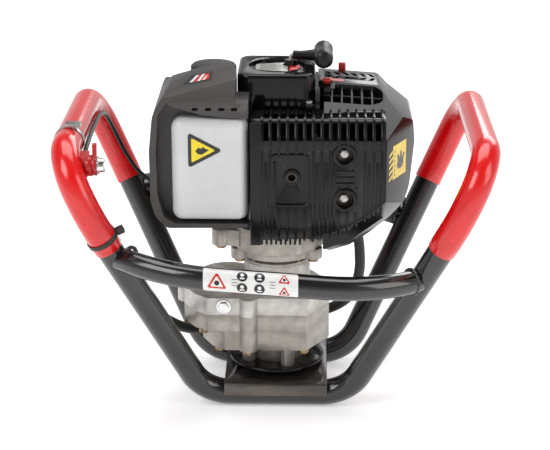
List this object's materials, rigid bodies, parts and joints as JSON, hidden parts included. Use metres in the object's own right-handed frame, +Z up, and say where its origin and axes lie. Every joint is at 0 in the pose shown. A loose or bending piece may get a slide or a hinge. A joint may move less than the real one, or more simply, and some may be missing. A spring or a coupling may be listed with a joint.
{
  "type": "ice auger powerhead",
  "caption": "Engine powerhead of a hand-held ice fishing auger: small two-stroke over a reduction gearbox, in a bent tube frame with a handle loop at each side and a stub output shaft below.",
  "frame": {"origin": "on the output shaft's axis, at the height of the floor that the frame's two rails rest on", "axes": "+Z up along the output shaft, +X to the operator's right as the muffler side is seen from in front, -Y the front (muffler) side"},
  "size_m": [0.4623, 0.3259, 0.3916],
  "materials": {
    "black_tube": "gloss black powder coat",
    "red_grip_skin": "glossy dipped vinyl",
    "pad_rubber": "ribbed soft rubber",
    "bracket_steel": "satin plate, lacquered",
    "cast_aluminium": "as cast, satin",
    "bright_aluminium": "machined",
    "steel": "machined",
    "zinc_bolts": "yellow zinc plated",
    "chrome_steel": "bright plated",
    "bronze": "sintered",
    "black_gloss": "moulded gloss",
    "black_plastic": "moulded satin",
    "grey_plastic": "moulded satin",
    "tank_plastic": "translucent milk white",
    "red_plastic": "moulded",
    "clear_rubber": "soft bulb",
    "black_rubber": "moulded",
    "foam": "open-cell foam",
    "rope": "braided",
    "white_ceramic": "glazed",
    "muffler_steel": "heat-proof paint"
  },
  "bodies": {
    "root": {"front_frame_tube": "black_tube", "rear_frame_tube": "black_tube", "left_grip_sleeve": "red_grip_skin", "right_grip_sleeve": "red_grip_skin", "front_crossbar": "black_tube", "rear_crossbar": "black_tube", "rear_crossbar_pad": "pad_rubber", "mount_bracket": "bracket_steel", "gearbox_lower_case": "cast_aluminium", "gearbox_middle_case": "cast_aluminium", "gearbox_upper_case": "cast_aluminium", "oil_plug": "chrome_steel", "dust_ring": "black_gloss", "bushes_and_seal": "bronze", "clutch_housing": "cast_aluminium", "hex_bolts": "zinc_bolts", "clutch_rotor": "steel", "clutch_shoes": "steel", "crankcase": "cast_aluminium", "crankshaft": "steel", "connecting_rod": "steel", "piston": "bright_aluminium", "crank_bearings": "steel", "cylinder": "cast_aluminium", "spark_plug": "white_ceramic", "plug_boot": "black_rubber", "flywheel": "cast_aluminium", "ignition_coil": "black_plastic", "muffler": "muffler_steel", "muffler_guard": "black_plastic", "fuel_tank": "tank_plastic", "tank_cover": "grey_plastic", "cylinder_shroud": "black_gloss", "recoil_housing": "black_gloss", "cover_screws": "steel", "recoil_spring": "steel", "air_filter_base": "black_plastic", "air_filter_element": "foam", "air_filter_cover": "black_plastic", "carburettor": "bright_aluminium", "fuel_lines": "clear_rubber", "throttle_housing": "red_plastic", "throttle_pivot": "chrome_steel", "throttle_clamp": "steel", "wiring_loom": "black_plastic", "throttle_cable": "black_rubber", "cable_tie": "black_plastic"},
    "output": {"output_shaft": "steel", "output_gear": "steel"},
    "intermediate": {"intermediate_gear": "steel"},
    "input": {"input_pinion": "steel", "clutch_drum": "steel"},
    "reel": {"recoil_reel": "black_plastic", "starter_rope": "rope"},
    "starter": {"starter_grip": "black_rubber"},
    "throttle": {"throttle_lever": "red_plastic"},
    "choke": {"choke_lever": "red_plastic"},
    "cap": {"fuel_cap": "black_plastic"},
    "primer": {"primer_bulb": "clear_rubber"},
    "stop": {"stop_switch": "red_plastic"}
  },
  "joints": [
    {"name": "output_spin", "type": "hinge", "parent": "root", "child": "output", "pos_m": [0, 0, 0.074], "axis": [0, 0, 1], "continuous": true},
    {"name": "intermediate_spin", "type": "hinge", "parent": "root", "child": "intermediate", "pos_m": [-0.05, 0, 0.09], "axis": [0, 0, 1], "continuous": true},
    {"name": "input_spin", "type": "hinge", "parent": "root", "child": "input", "pos_m": [0, 0, 0.12], "axis": [0, 0, 1], "continuous": true},
    {"name": "starter_pull", "type": "slide", "parent": "root", "child": "starter", "axis": [0.9903, 0, 0.1392], "range_m": [0, 0.6], "stiffness_N_per_m": 12, "springref_m": -0.1},
    {"name": "reel_turn", "type": "hinge", "parent": "root", "child": "reel", "pos_m": [0, 0, 0.326], "axis": [0, 0, 1], "range_deg": [0, 1230]},
    {"name": "throttle_squeeze", "type": "hinge", "parent": "root", "child": "throttle", "pos_m": [-0.1833, -0.106, 0.29], "axis": [1, 0, 0], "range_deg": [-45, 0], "stiffness_Nm_per_rad": 0.02, "springref_deg": 20.05},
    {"name": "choke_swing", "type": "hinge", "parent": "root", "child": "choke", "pos_m": [0.07, 0.0535, 0.286], "axis": [0, 1, 0], "range_deg": [-60, 0]},
    {"name": "cap_turn", "type": "hinge", "parent": "root", "child": "cap", "pos_m": [-0.068, 0.015, 0.35], "axis": [0, 0, 1], "range_deg": [0, 450]},
    {"name": "primer_push", "type": "slide", "parent": "root", "child": "primer", "axis": [1, 0, 0], "range_m": [0, 0.004], "stiffness_N_per_m": 600},
    {"name": "stop_push", "type": "slide", "parent": "root", "child": "stop", "axis": [0, 0, -1], "range_m": [0, 0.0012], "stiffness_N_per_m": 800}
  ],
  "couplings": [
    {"joint": "intermediate_spin", "follows": "output_spin", "ratio": -3.1667},
    {"joint": "input_spin", "follows": "output_spin", "ratio": 14.929},
    {"joint": "reel_turn", "follows": "starter_pull", "rad_per_m": 35.714}
  ]
}
